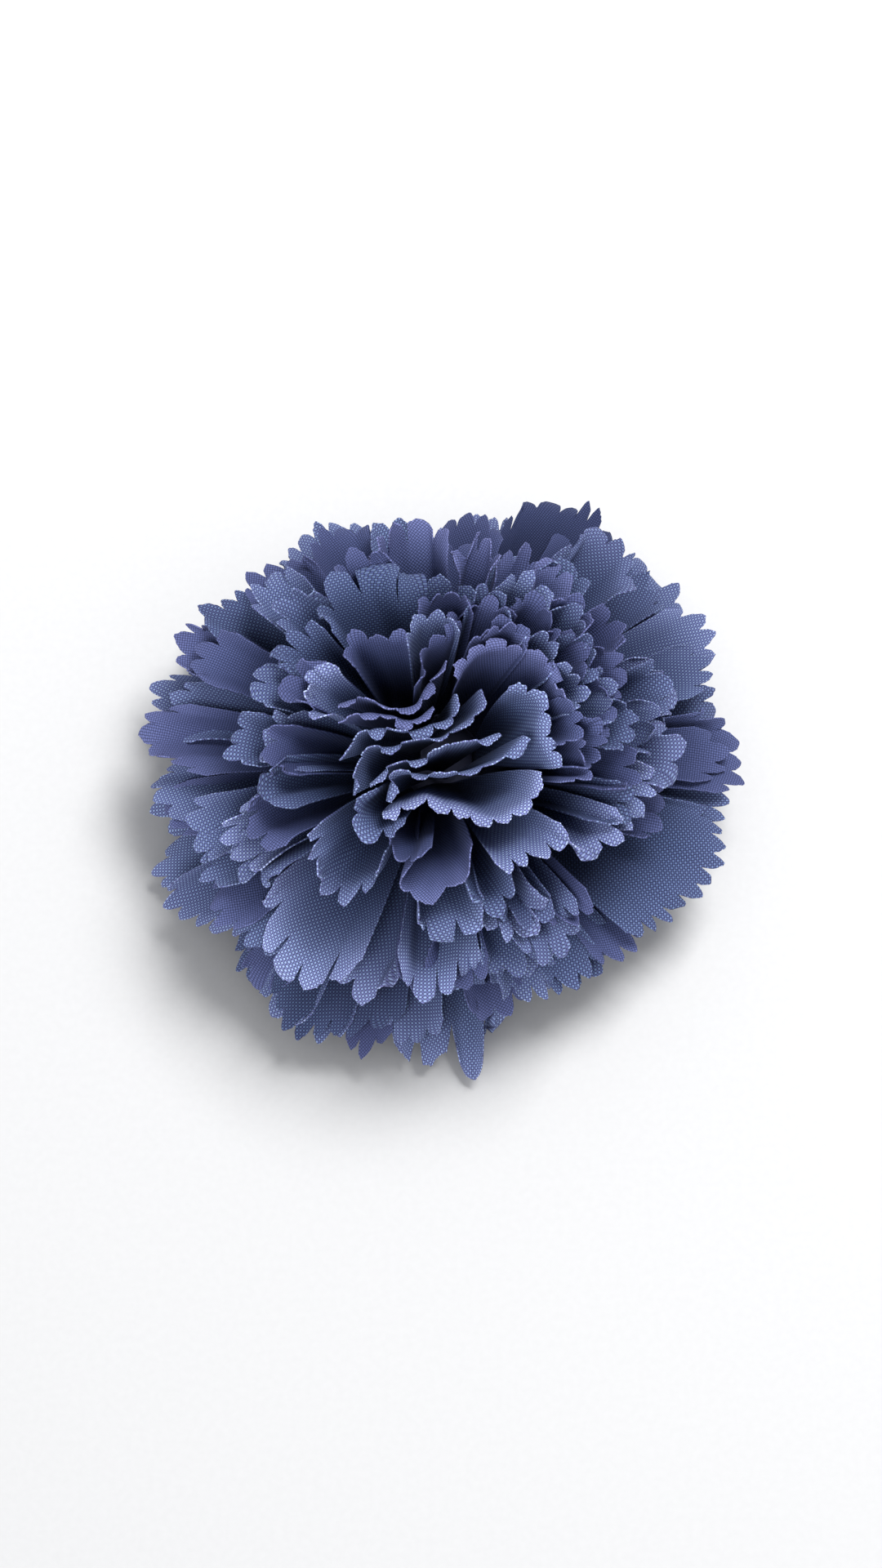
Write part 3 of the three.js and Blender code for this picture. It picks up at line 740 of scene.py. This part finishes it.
class CARNATION_OT_petals(bpy.types.Operator):
    """Makes every petal, ring by ring."""

    bl_idname = "carnation.petals"
    bl_label = "Petals"

    def execute(self, context):
        cloth = context.scene.carnation_cloth
        for ring, petals in RINGS.items():
            for index, row in enumerate(petals, 1):
                node = f"{ring}_petal_{index:02d}"
                piece = put_petal(row, ring, index, f"{node}_cloth", SLOTS[node], cloth)
                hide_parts(node)
        return {"FINISHED"}


class CARNATION_OT_fillers(bpy.types.Operator):
    """Makes the small petals between the others."""

    bl_idname = "carnation.fillers"
    bl_label = "Filler petals"

    def execute(self, context):
        cloth = context.scene.carnation_cloth
        for ring, petals in FILLERS.items():
            for index, row in enumerate(petals, 1):
                row = filler_row(*row, FILLER_WIDTHS[ring], cloth.head_diameter / 2 / MM)
                slot = FILLER_SLOTS[index % len(FILLER_SLOTS)]
                put_petal(row, ring, FIRST_FILLER_SEED + index, f"{ring}_filler_{index:02d}", slot, cloth)
        return {"FINISHED"}


class CARNATION_OT_base(bpy.types.Operator):
    """Makes the calyx, a flared cup whose rim is notched into pointed lobes, and the core that sits in it."""

    bl_idname = "carnation.base"
    bl_label = "Calyx and core"

    def execute(self, context):
        inner = CUP_OUTER - CUP_WALL
        under_lobes = CUP_RIM - LOBE_NOTCH - 0.4
        calyx = (
            [(0, SOCKET_DEPTH), (SOCKET_RADIUS - 0.1, SOCKET_DEPTH), (SOCKET_RADIUS, SOCKET_DEPTH - 0.1)]
            + [(SOCKET_RADIUS, EDGE_ROUND), (SOCKET_RADIUS + EDGE_ROUND, 0), (FOOT_RADIUS - EDGE_ROUND, 0)]
            + [(FOOT_RADIUS, EDGE_ROUND), WAIST, *FLARE]
            + [(CUP_OUTER, under_lobes), (CUP_OUTER, CUP_RIM - EDGE_ROUND), (CUP_OUTER - EDGE_ROUND, CUP_RIM)]
            + [(inner + EDGE_ROUND, CUP_RIM), (inner, CUP_RIM - EDGE_ROUND), (inner, under_lobes)]
            + [(inner, CUP_FLOOR), (0, CUP_FLOOR)]
        )
        turned_piece("calyx_cup", "calyx", calyx, self.lobes)
        neck = CORE_RADIUS - CORE_INSET
        climbs = np.linspace(0, math.pi / 2, 24)[:-1]
        core = [(0, CUP_FLOOR + SEAT_GAP), (neck - EDGE_ROUND, CUP_FLOOR + SEAT_GAP)]
        core += [(neck, CUP_FLOOR + SEAT_GAP + EDGE_ROUND), (neck, CORE_BASE)]
        core += [(CORE_RADIUS * math.cos(c), CORE_BASE + CORE_RADIUS * math.sin(c)) for c in climbs]
        core += [(0, CORE_BASE + CORE_RADIUS)]
        turned_piece("core_dome", "core", core)
        return {"FINISHED"}

    def lobes(self, angle, height):
        """How far the rim is lowered at an angle: a rounded V between each lobe and the next."""
        from_notch = np.abs((angle * LOBES / (2 * math.pi) + 0.5) % 1 - 0.5) * 2 * math.pi / LOBES * CUP_OUTER
        notch = LOBE_NOTCH * np.clip(1 - from_notch / (LOBE_NOTCH_WIDTH / 2), 0, 1)
        return notch * (height > CUP_RIM - LOBE_NOTCH)


class CARNATION_OT_stage(bpy.types.Operator):
    """Makes the floor, the lights and the camera."""

    bl_idname = "carnation.stage"
    bl_label = "Stage"

    def execute(self, context):
        stage = context.scene.carnation_stage
        turns = ((-1, -1), (1, -1), (1, 1), (-1, 1))
        mesh = bpy.data.meshes.new("floor")
        mesh.from_pydata([(x * FLOOR_HALF, y * FLOOR_HALF, 0) for x, y in turns], [], [(0, 1, 2, 3)])
        mesh.materials.append(floor_material())
        floor = bpy.data.objects.new("floor", mesh)
        context.scene.collection.objects.link(floor)
        self.put_light("key", KEY_PLACE, KEY_SIZE, stage.key_power)
        fill = self.put_light("fill", FILL_PLACE, FILL_SIZE, stage.fill_power)
        # The fill lights the petals from the front without weakening their shadow on the floor.
        unlit = bpy.data.collections.new("not lit by the fill")
        unlit.objects.link(floor)
        unlit.collection_objects[0].light_linking.link_state = "EXCLUDE"
        fill.light_linking.receiver_collection = unlit
        world = bpy.data.worlds.new("room")
        world.use_nodes = True
        room = world.node_tree.nodes["Background"]
        room.inputs["Color"].default_value = (0.97, 0.98, 1.0, 1.0)
        room.inputs["Strength"].default_value = stage.ambient
        context.scene.world = world
        context.scene.view_settings.view_transform = "Standard"
        self.put_camera(stage)
        return {"FINISHED"}

    def put_light(self, name, place, size, power):
        """A square lamp that points at the middle of the head."""
        lamp = bpy.data.lights.new(name, "AREA")
        lamp.size = size
        lamp.energy = power
        holder = bpy.data.objects.new(name, lamp)
        holder.location = Vector((AXIS.x, AXIS.y, HEAD_MIDDLE)) + place
        holder.rotation_euler = (-place).to_track_quat("-Z", "Y").to_euler()
        bpy.context.scene.collection.objects.link(holder)
        return holder

    def put_camera(self, stage):
        """A long lens that looks down on the head from its front."""
        camera = bpy.data.objects.new("camera", bpy.data.cameras.new("camera"))
        camera.data.lens = stage.lens
        way = Vector((0, -math.cos(stage.elevation), math.sin(stage.elevation)))
        distance = stage.frame_height * stage.lens / camera.data.sensor_width + SHARP_HEIGHT * way.z
        camera.location = Vector((AXIS.x, AXIS.y + CAMERA_AIM, 0)) + way * distance
        camera.rotation_euler = (-way).to_track_quat("-Z", "Y").to_euler()
        bpy.context.scene.collection.objects.link(camera)
        bpy.context.scene.camera = camera


class CARNATION_PT_panel(bpy.types.Panel):
    """Lists the steps and settings in the sidebar."""

    bl_idname = "CARNATION_PT_panel"
    bl_label = "Carnation"
    bl_space_type = "VIEW_3D"
    bl_region_type = "UI"
    bl_category = "Carnation"

    def draw(self, context):
        for operator in OPERATORS:
            self.layout.operator(operator.bl_idname)
        scene = context.scene
        for group in (scene.carnation_cloth, scene.carnation_base, scene.carnation_stage):
            for name in group.__annotations__:
                self.layout.prop(group, name)


OPERATORS = (
    CARNATION_OT_materials,
    CARNATION_OT_petals,
    CARNATION_OT_fillers,
    CARNATION_OT_base,
    CARNATION_OT_stage,
)
GROUPS = (CarnationCloth, CarnationBase, CarnationStage)
CLASSES = GROUPS + OPERATORS + (CARNATION_PT_panel,)


def register():
    for item in CLASSES:
        bpy.utils.register_class(item)
    bpy.types.Scene.carnation_cloth = bpy.props.PointerProperty(type=CarnationCloth)
    bpy.types.Scene.carnation_base = bpy.props.PointerProperty(type=CarnationBase)
    bpy.types.Scene.carnation_stage = bpy.props.PointerProperty(type=CarnationStage)


def unregister():
    del bpy.types.Scene.carnation_stage
    del bpy.types.Scene.carnation_base
    del bpy.types.Scene.carnation_cloth
    for item in reversed(CLASSES):
        bpy.utils.unregister_class(item)


def main():
    register()
    bpy.ops.carnation.materials()
    bpy.ops.carnation.petals()
    bpy.ops.carnation.fillers()
    bpy.ops.carnation.base()
    bpy.ops.carnation.stage()


if __name__ == "__main__":
    main()
